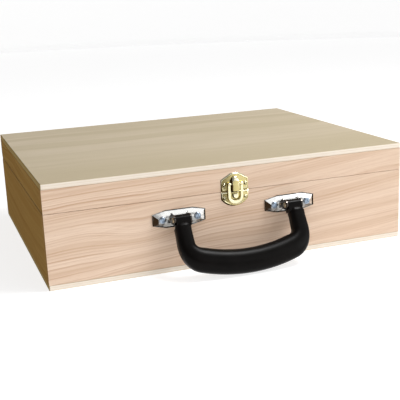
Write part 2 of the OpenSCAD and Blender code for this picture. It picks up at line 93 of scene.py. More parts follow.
class Shader:
    """One material's node tree, with short calls that add nodes and join them."""

    def __init__(self, name, **surface):
        self.material = bpy.data.materials.new(name)
        self.material.use_nodes = True
        self.nodes = self.material.node_tree.nodes
        self.links = self.material.node_tree.links
        self.nodes.clear()
        self.surface = self.add("ShaderNodeBsdfPrincipled", surface)
        output = self.add("ShaderNodeOutputMaterial")
        self.links.new(self.surface.outputs["BSDF"], output.inputs["Surface"])
        self.place = self.add("ShaderNodeTexCoord").outputs["Object"]

    def add(self, kind, values=None, **settings):
        """Adds a node with these settings, and joins or sets its sockets."""
        node = self.nodes.new(kind)
        for key, value in settings.items():
            setattr(node, key, value)
        for socket, value in (values or {}).items():
            self.put(node.inputs[socket], value)
        return node

    def put(self, socket, value):
        """Joins a socket to another one, or gives it a constant."""
        if isinstance(value, bpy.types.NodeSocket):
            self.links.new(value, socket)
        else:
            socket.default_value = value

    def set(self, **surface):
        """Sets the Principled shader's sockets; an underscore in a name stands for a space."""
        for name, value in surface.items():
            self.put(self.surface.inputs[name.replace("_", " ")], value)

    def mapped(self, vector, location=(0, 0, 0), rotation=(0, 0, 0), scale=(1, 1, 1)):
        return self.add("ShaderNodeMapping", {
            "Vector": vector, "Location": location, "Rotation": rotation, "Scale": scale}).outputs[0]

    def math(self, operation, first, second=0.0, third=0.0):
        return self.add("ShaderNodeMath", {0: first, 1: second, 2: third}, operation=operation).outputs[0]

    def noise(self, vector, scale=1.0, detail=2.0, roughness=0.5):
        return self.add("ShaderNodeTexNoise", {
            "Vector": vector, "Scale": scale, "Detail": detail, "Roughness": roughness}).outputs["Fac"]

    def noise_along(self, distance, scale, detail=2.0, roughness=0.5):
        """Noise that varies with one distance only."""
        return self.add("ShaderNodeTexNoise", {
            "W": distance, "Scale": scale, "Detail": detail, "Roughness": roughness},
            noise_dimensions="1D").outputs["Fac"]

    def cells(self, vector, scale):
        return self.add("ShaderNodeTexVoronoi", {"Vector": vector, "Scale": scale}).outputs["Distance"]

    def between(self, value, start, end, to_start=0.0, to_end=1.0):
        """Value taken smoothly from start to end, and clamped there."""
        return self.add("ShaderNodeMapRange", {
            "Value": value, "From Min": start, "From Max": end, "To Min": to_start, "To Max": to_end},
            interpolation_type="SMOOTHSTEP").outputs["Result"]

    def mix(self, share, first, second, blend="MIX"):
        """A mix of two colours, by the share of the second."""
        node = self.add("ShaderNodeMix", data_type="RGBA", blend_type=blend)
        self.put(node.inputs["Factor"], share)
        self.put(node.inputs[6], first)
        self.put(node.inputs[7], second)
        return node.outputs[2]

    def split(self, vector):
        return self.add("ShaderNodeSeparateXYZ", {0: vector}).outputs

    def paint_left_shade(self, colour, gloss):
        """Paints shade into a wood's colour on the outer left face of the case, as though that face stood in
        shadow, with a painted shadow line along the seam there. Returns its colour and its gloss, which is
        none there."""
        axes = self.split(self.place)
        near = self.between(axes[0], case_low.x + 1.5 * mm, case_low.x + 0.5 * mm)
        facing = self.split(self.add("ShaderNodeTexCoord").outputs["Normal"])[0]
        # Where the painted shade goes: the case's outer left face only.
        outside = self.math("MULTIPLY", near, self.between(facing, -0.1, -0.4))
        shaded = self.mix(1.0, colour, painted_left_shade, "MULTIPLY")
        off_seam = self.math("ABSOLUTE", self.math("SUBTRACT", axes[2], seam_z))
        # A painted shadow line in the gap of the seam.
        shaded = self.mix(self.between(off_seam, 0.9 * mm, 0.3 * mm, 0.0, 0.6), shaded, linear(34, 26, 14))
        return self.mix(outside, colour, shaded), self.math("MULTIPLY_ADD", outside, -gloss, gloss)

    def bump(self, height, distance, strength):
        self.set(Normal=self.add("ShaderNodeBump", {
            "Height": height, "Distance": distance, "Strength": strength}).outputs[0])


def wood_colour(shader, grain, tones, shift, heart, ring=1.8 * mm, line_depth=0.72, mottle=0.3, slope=0.0,
                eye=None):
    """Flat-sawn grain: growth rings round a heart far under the board, wandering along it. Each year darkens
    towards its end and stands out more or less than its neighbours, with fibres and small pores over it.
    With a slope the grain climbs to the right by that angle. An eye (x, z, half length, half height, rise)
    pushes the rings aside, as over a dead branch.
    Returns the colour and a height for the bump."""
    light, mid, dark = tones
    turn = (0, slope, 0) if grain == "x" else (0, 0, math.pi / 2)
    place = shader.mapped(shader.place, rotation=turn)
    moved = shader.mapped(place, location=shift)
    wander = shader.noise(shader.mapped(moved, scale=(3.2, 9, 9)), detail=2.0)
    ripple = shader.noise(shader.mapped(moved, scale=(16, 34, 34)), detail=2.0)
    axes = shader.split(moved)
    depth = shader.math("SUBTRACT", axes[1], heart[0])
    height = shader.math("SUBTRACT", axes[2], heart[1])
    radius = shader.math("SQRT", shader.math("ADD", shader.math("POWER", depth, 2.0),
                                              shader.math("POWER", height, 2.0)))
    radius = shader.math("MULTIPLY_ADD", wander, 0.026, radius)
    radius = shader.math("MULTIPLY_ADD", ripple, 0.0022, radius)
    if eye:
        x, z, half_x, half_z, rise = eye
        across = shader.split(shader.mapped(place, location=(-x, 0, -z)))
        far = shader.math("ADD", shader.math("POWER", shader.math("DIVIDE", across[0], half_x), 2.0),
                          shader.math("POWER", shader.math("DIVIDE", across[2], half_z), 2.0))
        swell = shader.math("EXPONENT", shader.math("MULTIPLY", far, -1.0))
        radius = shader.math("MULTIPLY_ADD", swell, rise, radius)
    uneven = shader.noise_along(radius, 0.12 / ring, detail=2.0)
    years = shader.math("MULTIPLY_ADD", uneven, 5.0, shader.math("DIVIDE", radius, ring))
    season = shader.math("FRACT", years)
    strong = shader.add("ShaderNodeTexWhiteNoise", {"W": shader.math("FLOOR", years)},
                        noise_dimensions="1D").outputs["Value"]
    late = shader.math("MULTIPLY", shader.between(season, 0.25, 0.86), shader.between(season, 1.0, 0.9))
    fading = shader.between(shader.noise(shader.mapped(moved, location=(3, 1, 2), scale=(7, 26, 26))),
                            0.36, 0.62, 0.35, 1.0)
    line = shader.math("MULTIPLY", late, fading)
    line = shader.math("MULTIPLY", line, shader.between(strong, 0.1, 1.0, 0.2, 1.0))
    bands = shader.noise_along(radius, 0.2 / ring, detail=3.0, roughness=0.62)
    fibre = shader.noise(shader.mapped(moved, scale=(22, 1100, 1100)), detail=2.0, roughness=0.7)
    pore = shader.between(shader.noise(shader.mapped(moved, scale=(120, 2200, 2200)), detail=1.0), 0.66, 0.74)
    cloud = shader.noise(shader.mapped(moved, location=(1, 4, 7), scale=(6, 13, 13)), detail=3.0)
    colour = shader.mix(shader.between(bands, 0.36, 0.66), light, mid)
    colour = shader.mix(shader.math("MULTIPLY", line, line_depth), colour, dark)
    colour = shader.mix(shader.math("MULTIPLY", shader.between(cloud, 0.35, 0.7), mottle), colour, mid)
    colour = shader.mix(shader.between(fibre, 0.3, 0.75, 0.0, 0.2), colour, dark)
    colour = shader.mix(shader.math("MULTIPLY", pore, 0.25), colour, dark)
    relief = shader.math("SUBTRACT", shader.math("MULTIPLY", fibre, 0.5), pore)
    relief = shader.math("MULTIPLY_ADD", line, -0.4, relief)
    return colour, relief


def wood(name, grain, tones, shift, heart, **looks):
    """Bare sanded board."""
    shader = Shader(name, Roughness=0.55)
    colour, relief = wood_colour(shader, grain, tones, shift, heart, **looks)
    # Painted shade on the case's outer left face.
    colour, gloss = shader.paint_left_shade(colour, 0.3)
    shader.set(Base_Color=colour, Specular_IOR_Level=gloss,
               Roughness=shader.between(relief, -0.6, 0.5, 0.68, 0.5))
    shader.bump(relief, 0.05 * mm, 0.35)
    return shader.material


def plywood(name, grain, tones, edge_tones, shift, heart, base_z, thickness, **looks):
    """Thin plywood: veneer on its faces, and pale plies in layers on its edges."""
    shader = Shader(name, Roughness=0.6)
    colour, relief = wood_colour(shader, grain, tones, shift, heart, **looks)
    axes = shader.split(shader.place)
    level = shader.math("DIVIDE", shader.math("SUBTRACT", axes[2], base_z), thickness)
    ply = shader.math("PINGPONG", shader.math("MULTIPLY", level, 5.0), 1.0)
    streak = shader.noise(shader.mapped(shader.place, scale=(60, 60, 900)), detail=3.0)
    share = shader.math("MULTIPLY_ADD", streak, 0.55, shader.between(ply, 0.35, 0.75, 0.0, 0.35))
    edge = shader.mix(share, edge_tones[0], edge_tones[1])
    normal = shader.add("ShaderNodeTexCoord").outputs["Normal"]
    upright = shader.math("ABSOLUTE", shader.split(normal)[2])
    # Painted shade on the case's outer left face, ply edges included.
    colour, gloss = shader.paint_left_shade(shader.mix(shader.between(upright, 0.35, 0.75), edge, colour), 0.3)
    shader.set(Base_Color=colour, Specular_IOR_Level=gloss)
    shader.bump(relief, 0.04 * mm, 0.3)
    return shader.material


def metal(name, colour, roughness, wear_colour, painted_front_reflection=None, painted_shade_colour=None, below=0.0,
          streaks=0.0, left=None, painted_shade_from_y=None):
    """Plated or polished metal with faint clouding and hairline scratches. Given a front colour, reflections
    and shade are painted into its colour: its own colour where it faces up, a duller painted reflection where
    it faces front, with painted dark streaks there, and painted dark reflection, darkest where it faces left
    or, as far as asked, down. It can also be painted darker towards the left, from one x to another, and
    beyond a given y, both as painted shade."""
    shader = Shader(name, Metallic=1.0)
    cloud = shader.noise(shader.place, 270.0, detail=3.0)
    brushed = shader.mapped(shader.place, rotation=(0.3, 0.2, 0.5), scale=(300, 6000, 6000))
    hairs = shader.noise(brushed)
    worn = shader.between(cloud, 0.45, 0.75)
    tone = shader.mix(shader.math("MULTIPLY", worn, 0.35), colour, wear_colour)
    # What follows paints reflections and shade into the colour, by the way each face turns.
    if painted_front_reflection:
        facing = shader.split(shader.add("ShaderNodeTexCoord").outputs["Normal"])
        axes = shader.split(shader.place)
        ripple = shader.noise(shader.mapped(shader.place, scale=(160, 60, 420)), detail=1.0)
        swing = shader.math("MULTIPLY_ADD", ripple, 0.3, -0.15)
        to_front = shader.math("SUBTRACT", swing, facing[1])
        to_front = shader.math("ADD", to_front, shader.math("MULTIPLY", facing[2], -0.6))
        painted_front_share = shader.between(to_front, 0.76, 0.96)
        tone = shader.mix(painted_front_share, tone, painted_front_reflection)
        # Painted dark streaks on the front-facing parts, as of reflections.
        drawn = shader.mapped(shader.place, location=(0.3, 0, 0.7), scale=(260, 60, 120))
        streak = shader.noise(drawn, detail=1.0)
        streak = shader.math("MULTIPLY", shader.between(streak, 0.54, 0.66), painted_front_share)
        tone = shader.mix(shader.math("MULTIPLY", streak, streaks), tone, painted_shade_colour)
        # Painted dark reflection and shade where it faces left, and down.
        aside = shader.math("MULTIPLY_ADD", facing[2], -0.5, shader.math("MULTIPLY", facing[0], -1.0))
        aside = shader.math("MAXIMUM", aside, shader.math("MULTIPLY", facing[2], -below))
        dark = shader.between(shader.math("ADD", aside, swing), 0.22, 0.55)
        # Painted shade growing towards the left, between two x.
        if left:
            to_left = shader.between(axes[0], left[0], left[1], 0.0, 0.7)
            dark = shader.math("MAXIMUM", dark, shader.math("MULTIPLY", to_left, painted_front_share))
        # Painted shade on whatever stands out beyond that y.
        if painted_shade_from_y:
            painted_shade_far_out = shader.between(axes[1], painted_shade_from_y, painted_shade_from_y - 0.5 * mm, 0.0, 0.9)
            dark = shader.math("MAXIMUM", dark, painted_shade_far_out)
        tone = shader.mix(dark, tone, painted_shade_colour)
    dull = shader.between(cloud, 0.3, 0.8, roughness, roughness * 1.6)
    shader.set(Base_Color=tone, Roughness=shader.math("MULTIPLY_ADD", hairs, 0.1, dull))
    shader.bump(hairs, 0.01 * mm, 0.25)
    return shader.material


def moulded_plastic(name, colour, worn_colour, roughness, pebble, depth, specular):
    """Moulded plastic with a fine pebbled skin, given the pebbles' density and depth."""
    shader = Shader(name)
    shader.set(Specular_IOR_Level=specular)
    skin = shader.cells(shader.place, pebble)
    cloud = shader.noise(shader.place, 55.0, detail=3.0)
    fine = shader.noise(shader.place, pebble * 2.3, detail=2.0)
    dull = shader.between(cloud, 0.3, 0.75, roughness, roughness + 0.08)
    shader.set(Base_Color=shader.mix(shader.between(cloud, 0.45, 0.8), colour, worn_colour),
               Roughness=shader.math("MULTIPLY_ADD", fine, 0.1, dull))
    shader.bump(shader.math("MULTIPLY_ADD", fine, 0.4, skin), depth, 0.5)
    return shader.material


def felt(name, colour, pale):
    """Pressed felt: matted fibres, a soft nap and small pills."""
    shader = Shader(name, Roughness=0.95)
    shader.set(Sheen_Weight=0.55, Sheen_Roughness=0.45, Specular_IOR_Level=0.15)
    one_way = shader.mapped(shader.place, rotation=(0, 0, 0.6), scale=(500, 2600, 1500))
    other_way = shader.mapped(shader.place, rotation=(0, 0, -0.9), scale=(2600, 500, 1500))
    nap = shader.math("MAXIMUM", shader.noise(one_way, detail=3.0), shader.noise(other_way, detail=3.0))
    cloud = shader.noise(shader.place, 28.0, detail=4.0, roughness=0.6)
    tone = shader.mix(shader.between(nap, 0.45, 0.8), colour, pale)
    shader.set(Base_Color=shader.mix(shader.between(cloud, 0.4, 0.7, 0.0, 0.35), tone, colour))
    shader.bump(shader.math("MULTIPLY_ADD", cloud, 0.5, nap), 0.35 * mm, 0.6)
    return shader.material


front_tones = (linear(235, 211, 189), linear(220, 192, 167), linear(174, 124, 86))
side_tones = (linear(232, 206, 172), linear(220, 190, 153), linear(172, 130, 92))
# Colour multiplied in as painted shade on the case's outer left face.
painted_left_shade = (0.33, 0.265, 0.13, 1)
veneer_tones = (linear(217, 202, 177), linear(203, 188, 157), linear(180, 160, 127))
edge_tones = (linear(243, 234, 221), linear(224, 207, 186))
inner_tones = (linear(222, 196, 160), linear(206, 176, 136), linear(160, 124, 86))
panel_t = high("bottom_panel").z - case_low.z

base_front_wood = wood("base_front_wood", "x", front_tones, (0.31, 0.0, 0.0), (0.02, -0.075),
                       ring=1.6 * mm, line_depth=0.6, slope=0.08,
                       eye=(-0.081, 0.049, 42 * mm, 15 * mm, 7 * mm))
lid_front_wood = wood("lid_front_wood", "x", front_tones, (0.92, 0.0, 0.0), (0.03, -0.04), slope=0.09)
base_back_wood = wood("base_back_wood", "x", front_tones, (1.73, 0.0, 0.0), (0.2, -0.06))
lid_back_wood = wood("lid_back_wood", "x", front_tones, (2.41, 0.0, 0.0), (0.2, -0.05))
base_side_wood = wood("base_side_wood", "y", side_tones, (0.4, 0.0, 0.0), (0.0, -0.05))
lid_side_wood = wood("lid_side_wood", "y", side_tones, (1.4, 0.0, 0.0), (0.0, -0.05))
top_veneer = plywood("top_veneer", "x", veneer_tones, edge_tones, (0.2, 0.3, 0.0), (0.1, -0.35),
                     low("top_panel").z, panel_t, ring=6 * mm, line_depth=0.14, mottle=0.6)
bottom_veneer = plywood("bottom_veneer", "x", veneer_tones, edge_tones, (1.2, 0.1, 0.0), (0.1, -0.35),
                        case_low.z, panel_t, ring=6 * mm, line_depth=0.14, mottle=0.6)
inner_wood = wood("inner_wood", "x", inner_tones, (3.1, 0.4, 0.0), (0.3, -0.1))
inner_wood_cross = wood("inner_wood_cross", "y", inner_tones, (3.7, 0.2, 0.0), (0.1, -0.1))
# Chrome with painted reflections and shade: grey where it faces front with painted dark streaks, near black
# where it faces left or down, and painted shade on the ears that stand out beyond 3.8 mm from the front.
chrome = metal("chrome", (0.92, 0.92, 0.9, 1), 0.07, (0.8, 0.8, 0.78, 1), (0.36, 0.36, 0.35, 1),
               (0.03, 0.018, 0.01, 1), below=0.5, streaks=0.6, painted_shade_from_y=front_y - 3.8 * mm)
zinc = metal("zinc", linear(158, 172, 188), 0.22, linear(126, 142, 152))
steel = metal("steel", linear(160, 164, 170), 0.3, linear(120, 122, 126))
# Brass with painted reflections and shade: a duller painted colour in front, painted dark brown where it
# faces left, and painted shade growing from 3 mm right of the latch's middle to 12 mm left of it.
bright_brass = metal("bright_brass", linear(252, 246, 214), 0.14, linear(244, 230, 180),
                     linear(206, 192, 134), linear(52, 36, 8), left=(3 * mm, -12 * mm))
polished_brass = metal("polished_brass", linear(250, 242, 202), 0.16, linear(238, 224, 172))
aged_steel = metal("aged_steel", linear(178, 160, 132), 0.28, linear(132, 112, 84))
plain_brass = metal("plain_brass", linear(214, 184, 112), 0.25, linear(170, 138, 76))
black_handle = moulded_plastic("black_handle", linear(6, 4, 3), linear(11, 7, 6), 0.24, 2400.0,
                               0.004 * mm, 0.09)
black_tray = moulded_plastic("black_tray", linear(27, 28, 30), linear(36, 37, 40), 0.5, 1500.0,
                             0.05 * mm, 0.4)
green_felt = felt("green_felt", linear(22, 74, 46), linear(64, 122, 84))


# ---- Building pieces ----

board_edge = 0.25 * mm

def finished(name, mesh, material, body, stands_for, smooth=32):
    """Makes an object of a mesh, shades it, hangs it on its body, and hides the CAD nodes it stands for."""
    mesh.materials.clear()
    mesh.materials.append(material)
    mesh.shade_smooth()
    mesh.set_sharp_from_angle(angle=math.radians(smooth))
    obj = bpy.data.objects.new(name, mesh)
    scene.collection.objects.link(obj)
    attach(obj, body)
    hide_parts(*stands_for)
    return obj


def even_shading(obj):
    """Keeps the flat faces next to rounded edges evenly shaded."""
    modifier = obj.modifiers.new("even_shading", "WEIGHTED_NORMAL")
    modifier.keep_sharp = True


def to_mesh(name, bm):
    """Turns a bmesh into a mesh whose faces all look outwards, and frees it."""
    bmesh.ops.recalc_face_normals(bm, faces=bm.faces)
    mesh = bpy.data.meshes.new(name)
    bm.to_mesh(mesh)
    bm.free()
    return mesh


def round_edges(bm, radius, segments=3, over=25):
    """Bevels every edge that is sharper than the given angle."""
    edges = [e for e in bm.edges if len(e.link_faces) == 2 and e.calc_face_angle(0) > math.radians(over)]
    bmesh.ops.bevel(bm, geom=edges, offset=radius, segments=segments, profile=0.5,
                    affect="EDGES", clamp_overlap=True)


def arc_points(centre, radius, start, end, steps):
    """Points of an arc in a plane, from one angle to another."""
    return [(centre[0] + radius * math.cos(t), centre[1] + radius * math.sin(t))
            for t in np.linspace(start, end, steps)]


def add_block(bm, lowest, highest):
    """A box between two corners. Returns its vertices."""
    made = bmesh.ops.create_cube(bm, size=1.0)["verts"]
    size = Vector(highest) - Vector(lowest)
    centre = (Vector(lowest) + Vector(highest)) / 2
    for v in made:
        v.co = Vector((v.co.x * size.x, v.co.y * size.y, v.co.z * size.z)) + centre
    return made


def add_loft(bm, rings):
    """A closed skin through rings of points, all with the same count."""
    rows = [[bm.verts.new(p) for p in ring] for ring in rings]
    count = len(rows[0])
    for near, far in zip(rows, rows[1:]):
        for i in range(count):
            j = (i + 1) % count
            bm.faces.new((near[i], near[j], far[j], far[i]))
    bm.faces.new(rows[0])
    bm.faces.new(rows[-1])


def add_slab(bm, near, far, radius):
    """Adds a slab with rounded edges between two outlines of the same count."""
    slab = bmesh.new()
    add_loft(slab, (near, far))
    round_edges(slab, radius, over=30)
    part = bpy.data.meshes.new("slab")
    slab.to_mesh(part)
    slab.free()
    bm.from_mesh(part)
    bpy.data.meshes.remove(part)


def add_lathe(bm, profile, place, steps=32):
    """A profile of (radius, distance out) turned round the Y axis, distance out being towards -Y."""
    rings = []
    for radius, out in profile:
        turns = (tau * i / steps for i in range(steps))
        rings.append([place @ Vector((radius * math.cos(t), -out, radius * math.sin(t))) for t in turns])
    add_loft(bm, rings)


def board(node, material, body, radius=board_edge):
    """A wooden board or panel with sanded edges, in place of its CAD block."""
    bm = bmesh.new()
    add_block(bm, low(node), high(node))
    round_edges(bm, radius)
    even_shading(finished(node + "_sanded", to_mesh(node, bm), material, body, [node]))


def refined(node, material, body, radius, over=25, smooth=32):
    """The CAD node's own shape with its edges rounded."""
    bm = bmesh.new()
    bm.from_mesh(frame["nodes"][node].data)
    bmesh.ops.remove_doubles(bm, verts=bm.verts, dist=0.001 * mm)
    bmesh.ops.dissolve_limit(bm, angle_limit=math.radians(0.5), verts=bm.verts, edges=bm.edges)
    round_edges(bm, radius, 2, over)
    even_shading(finished(node + "_finished", to_mesh(node, bm), material, body, [node], smooth))


# ---- Case ----

board("base_front_board", base_front_wood, "base")
board("lid_front_board", lid_front_wood, "lid")
for half, material in (("base", base_side_wood), ("lid", lid_side_wood)):
    for side in ("left", "right"):
        board(f"{half}_{side}_board", material, half)
refined("base_back_board", base_back_wood, "base", board_edge)
refined("lid_back_board", lid_back_wood, "lid", board_edge)
board("bottom_panel", bottom_veneer, "base", 0.7 * mm)
board("top_panel", top_veneer, "lid", 0.7 * mm)

# ---- Inside ----

for node in ("tray_bearer_front", "tray_bearer_back", "tray_divider"):
    board(node, inner_wood, "base", 0.6 * mm)
for node in ("card_divider_left", "card_divider_right"):
    board(node, inner_wood_cross, "base", 0.6 * mm)
for node in ("chip_tray_left", "chip_tray_right"):
    refined(node, black_tray, "base", 0.35 * mm, over=40, smooth=40)


def make_felt(name, lowest, highest):
    """A piece of felt laid on the floor of a card bay, with a faintly wavy top and a cut edge."""
    across, along = 30, 24
    size = highest - lowest
    bm = bmesh.new()
    sheets = []
    for top in (False, True):
        rows = []
        for i in range(across + 1):
            row = []
            for j in range(along + 1):
                x, y = size.x * i / across, size.y * j / along
                fray = 0.15 * mm * (1 + math.sin(900 * (x + y) + 3 * i + 5 * j))
                edge_x = fray * ((i == 0) - (i == across))
                edge_y = fray * ((j == 0) - (j == along))
                wave = 0.06 * mm * (1 + math.sin(140 * x + 60 * y) * math.cos(110 * y - 30 * x))
                rim = 0.25 * mm if i in (0, across) or j in (0, along) else 0.0
                z = highest.z - wave - rim if top else lowest.z
                row.append(bm.verts.new((lowest.x + x + edge_x, lowest.y + y + edge_y, z)))
            rows.append(row)
        sheets.append(rows)
        for i in range(across):
            for j in range(along):
                bm.faces.new((rows[i][j], rows[i + 1][j], rows[i + 1][j + 1], rows[i][j + 1]))
    under, over = sheets
    outline = [(i, 0) for i in range(across)] + [(across, j) for j in range(along)] + \
        [(i, along) for i in range(across, 0, -1)] + [(0, j) for j in range(along, 0, -1)]
    for (i, j), (k, m) in zip(outline, outline[1:] + outline[:1]):
        bm.faces.new((under[i][j], under[k][m], over[k][m], over[i][j]))
    obj = finished(name, to_mesh(name, bm), green_felt, "base", ["card_bay_felt"], 60)


def rounded_outline(half_x, half_y, radius, pull, steps=10):
    """Points round a rectangle with round corners, whose sides are pulled in between them."""
    points = []
    for quarter, (sx, sy) in enumerate(((1, 1), (-1, 1), (-1, -1), (1, -1))):
        for i in range(steps):
            a = math.pi / 2 * (quarter + i / (steps - 1))
            points.append((sx * (half_x - radius) + radius * math.cos(a),
                           sy * (half_y - radius) + radius * math.sin(a)))
    filled = []
    spacing = 12 * mm
    for (x0, y0), (x1, y1) in zip(points, points[1:] + points[:1]):
        pieces = max(1, round(math.hypot(x1 - x0, y1 - y0) / spacing))
        for k in range(pieces):
            filled.append((x0 + (x1 - x0) * k / pieces, y0 + (y1 - y0) * k / pieces))
    drawn = []
    for x, y in filled:
        along_x, along_y = abs(x) / half_x, abs(y) / half_y
        if along_x > along_y:
            x -= math.copysign(pull * (1 - along_y ** 2), x)
        else:
            y -= math.copysign(pull * (1 - along_x ** 2), y)
        drawn.append((x, y))
    return drawn


def make_lid_pad():
    """The foam pad in the lid, wrapped in felt: flat against the panel, crowned below, a pressed border."""
    lowest, highest = low("lid_pad"), high("lid_pad")
    centre, half = (lowest + highest) / 2, (highest - lowest) / 2
    depth = highest.z - lowest.z
    border, groove = 11 * mm, 0.9 * mm
    profile = [(30, 0.0), (3, 0.0), (1.2, 0.08), (0.3, 0.25), (0.0, 0.5), (0.3, 0.72), (1.4, 0.86),
               (3.2, 0.93), (6.5, 0.955)]
    rings = [(inset * mm, highest.z - share * depth) for inset, share in profile]
    rings += [(border + k * 0.6 * mm, lowest.z + 0.45 * mm + groove * math.exp(-k * k / 2.2))
              for k in range(-3, 4)]
    rings += [(inset, lowest.z + 0.4 * mm * (1 - inset / (120 * mm)) ** 2)
              for inset in np.linspace(17 * mm, 118 * mm, 14)]
    bm = bmesh.new()
    loops = []
    outer = rounded_outline(half.x, half.y, 9 * mm, 1.2 * mm)
    for inset, z in rings:
        shrink_x, shrink_y = 1 - inset / half.x, 1 - inset / half.y
        loops.append([Vector((centre.x + x * shrink_x, centre.y + y * shrink_y, z)) for x, y in outer])
    add_loft(bm, loops)
    mesh = to_mesh("lid_pad_wrapped", bm)
    pad = finished("lid_pad_wrapped", mesh, green_felt, "lid", ["lid_pad"], 70)


bay_low, bay_high = low("card_bay_felt"), high("card_bay_felt")
for name, left, right in (
        ("card_bay_felt_left", bay_low.x, low("card_divider_left").x),
        ("card_bay_felt_middle", high("card_divider_left").x, low("card_divider_right").x),
        ("card_bay_felt_right", high("card_divider_right").x, bay_high.x)):
    make_felt(name, Vector((left, bay_low.y, bay_low.z)), Vector((right, bay_high.y, bay_high.z)))
make_lid_pad()

# ---- Hinges ----

for side in ("left", "right"):
    for half, body in (("base", "base"), ("lid", "lid")):
        refined(f"hinge_{side}_{half}_leaf", plain_brass, body, 0.12 * mm)
    refined(f"hinge_{side}_pin", plain_brass, "base", 0.15 * mm)
refined("hinge_base_screws", plain_brass, "base", 0.08 * mm)
refined("hinge_lid_screws", plain_brass, "lid", 0.08 * mm)

# ---- Handle ----

pivot = joint_place("handle_swing")
pivot_x = middle("handle_pin_right").x
grip_drop, grip_half, leg_half = 45.5 * mm, (11.3 * mm, 8.1 * mm), (7.2 * mm, 5.2 * mm)
grip_round, leg_growth = 7.4 * mm, 0.15
leg_x, leg_start = pivot_x + 1 * mm, 6 * mm
bar_r, corner_r = 150 * mm, 17 * mm
head_half, head_r = 6.6 * mm, 4.6 * mm
corner_x = leg_x - corner_r
corner_y = bar_r - grip_drop - math.sqrt((bar_r - corner_r) ** 2 - corner_x ** 2)
corner_sweep = math.atan2(bar_r - grip_drop - corner_y, corner_x)


def handle_tilt():
    """How far the handle leans out for its grip to rest on the ground, from the CAD handle's own box."""
    reach = grip_drop + grip_half[0] - grip_round
    lean = grip_half[1] - grip_round
    fall = pivot.z - low("handle_grip").z - grip_round
    return math.atan(lean / reach) + math.acos(fall / math.hypot(reach, lean))


hang = Matrix.Translation(pivot) @ Matrix.Rotation(math.pi / 2 - handle_tilt(), 4, "X")


def handle_line(steps_leg=14, steps_corner=22, steps_bar=60):
    """Stations along the handle: (point, angle of the outward side, growth from leg to grip)."""
    stations = []
    for i in range(steps_leg):
        f = i / steps_leg
        stations.append((leg_x, -leg_start + f * (corner_y + leg_start), 0.0, leg_growth * f))
    for i in range(steps_corner):
        f = i / steps_corner
        a = corner_sweep * f
        grown = leg_growth + (1 - leg_growth) * f * f * (3 - 2 * f)
        stations.append((corner_x + corner_r * math.cos(a), corner_y - corner_r * math.sin(a), a, grown))
    for i in range(steps_bar // 2 + 1):
        a = corner_sweep + (math.pi / 2 - corner_sweep) * i / (steps_bar // 2)
        stations.append((bar_r * math.cos(a), bar_r - grip_drop - bar_r * math.sin(a), a, 1.0))
    mirrored = [(-x, y, math.pi - a, g) for x, y, a, g in reversed(stations[:-1])]
    return stations + mirrored


def oval_point(angle, half, power=2.5):
    """A point of a rounded oval; a higher power is squarer."""
    c, s = math.cos(angle), math.sin(angle)
    return (half[0] * math.copysign(abs(c) ** (2 / power), c),
            half[1] * math.copysign(abs(s) ** (2 / power), s))


def bow_ring(station, inset=0.0, lift=0.0, steps=44):
    """The handle's section at a station, made smaller by inset, its front half lifted along the leg."""
    x, y, a, grown = station
    half = (leg_half[0] + grown * (grip_half[0] - leg_half[0]) - inset,
            leg_half[1] + math.sqrt(grown) * (grip_half[1] - leg_half[1]) - inset)
    power = 3.2 - 0.95 * grown
    ring = []
    for i in range(steps):
        u, v = oval_point(tau * i / steps, half, power)
        seam = 0.16 * mm if i in (0, steps // 2) else 0.0
        u -= math.copysign(seam, u)
        higher = lift * max(0.0, v / half[1])
        ring.append(hang @ Vector((x + u * math.cos(a), y + higher - u * math.sin(a), v)))
    return ring


def make_handle():
    """The moulded bow with its parting line, and the two heads that sit between the bracket's ears."""
    bm = bmesh.new()
    line = handle_line()
    ledge = [(0, 1.2), (0.15, 1.0), (2.2, -0.15), (2.8, -0.25), (4.5, -0.1), (6.3, 0)]
    leg_length = -corner_y - leg_start
    rings = []
    for x, y, a, _ in (line[0], line[-1]):
        rings.append([bow_ring((x, y - drop * mm, a, leg_growth * drop * mm / leg_length), inset * mm,
                               (1 - drop / 6.3) * 3.2 * mm) for drop, inset in ledge])
    inner = [s for s in line if s[1] < -leg_start - 6.6 * mm]
    add_loft(bm, rings[0] + [bow_ring(s) for s in inner] + rings[1][::-1])
    for side in (-1, 1):
        outline = arc_points((0, 0), head_r, math.pi, 0, 19)
        outline = [(-head_r, -leg_start - 1 * mm)] + outline + [(head_r, -leg_start - 1 * mm)]
        ends = (side * pivot_x + head_half, side * pivot_x - head_half)
        near, far = ([hang @ Vector((x, y, -z)) for z, y in outline] for x in ends)
        add_slab(bm, near, far, 0.5 * mm)
    finished("handle_moulding", to_mesh("handle_moulding", bm), black_handle, "handle",
             ["handle_grip"], 40)


make_handle()
core = frame["nodes"]["handle_core"]
core.data.materials.clear()
core.data.materials.append(steel)

# ---- Handle brackets ----

bracket_foot = (25 * mm, 8.2 * mm, 5.3 * mm)
bracket_groove = (24.5 * mm, 7.55 * mm, 4.9 * mm)
bracket_flat = (20 * mm, 2.3 * mm, 2.0 * mm)
shoulder_x = 12.8 * mm
bracket_rise = 3.5 * mm


def octagon(size):
    """A long octagon's corners as (x, z), given half its width, half its height and half its ends' height."""
    x, z, end = size
    return [(-x, -end), (-shoulder_x, -z), (shoulder_x, -z), (x, -end),
            (x, end), (shoulder_x, z), (-shoulder_x, z), (-x, end)]


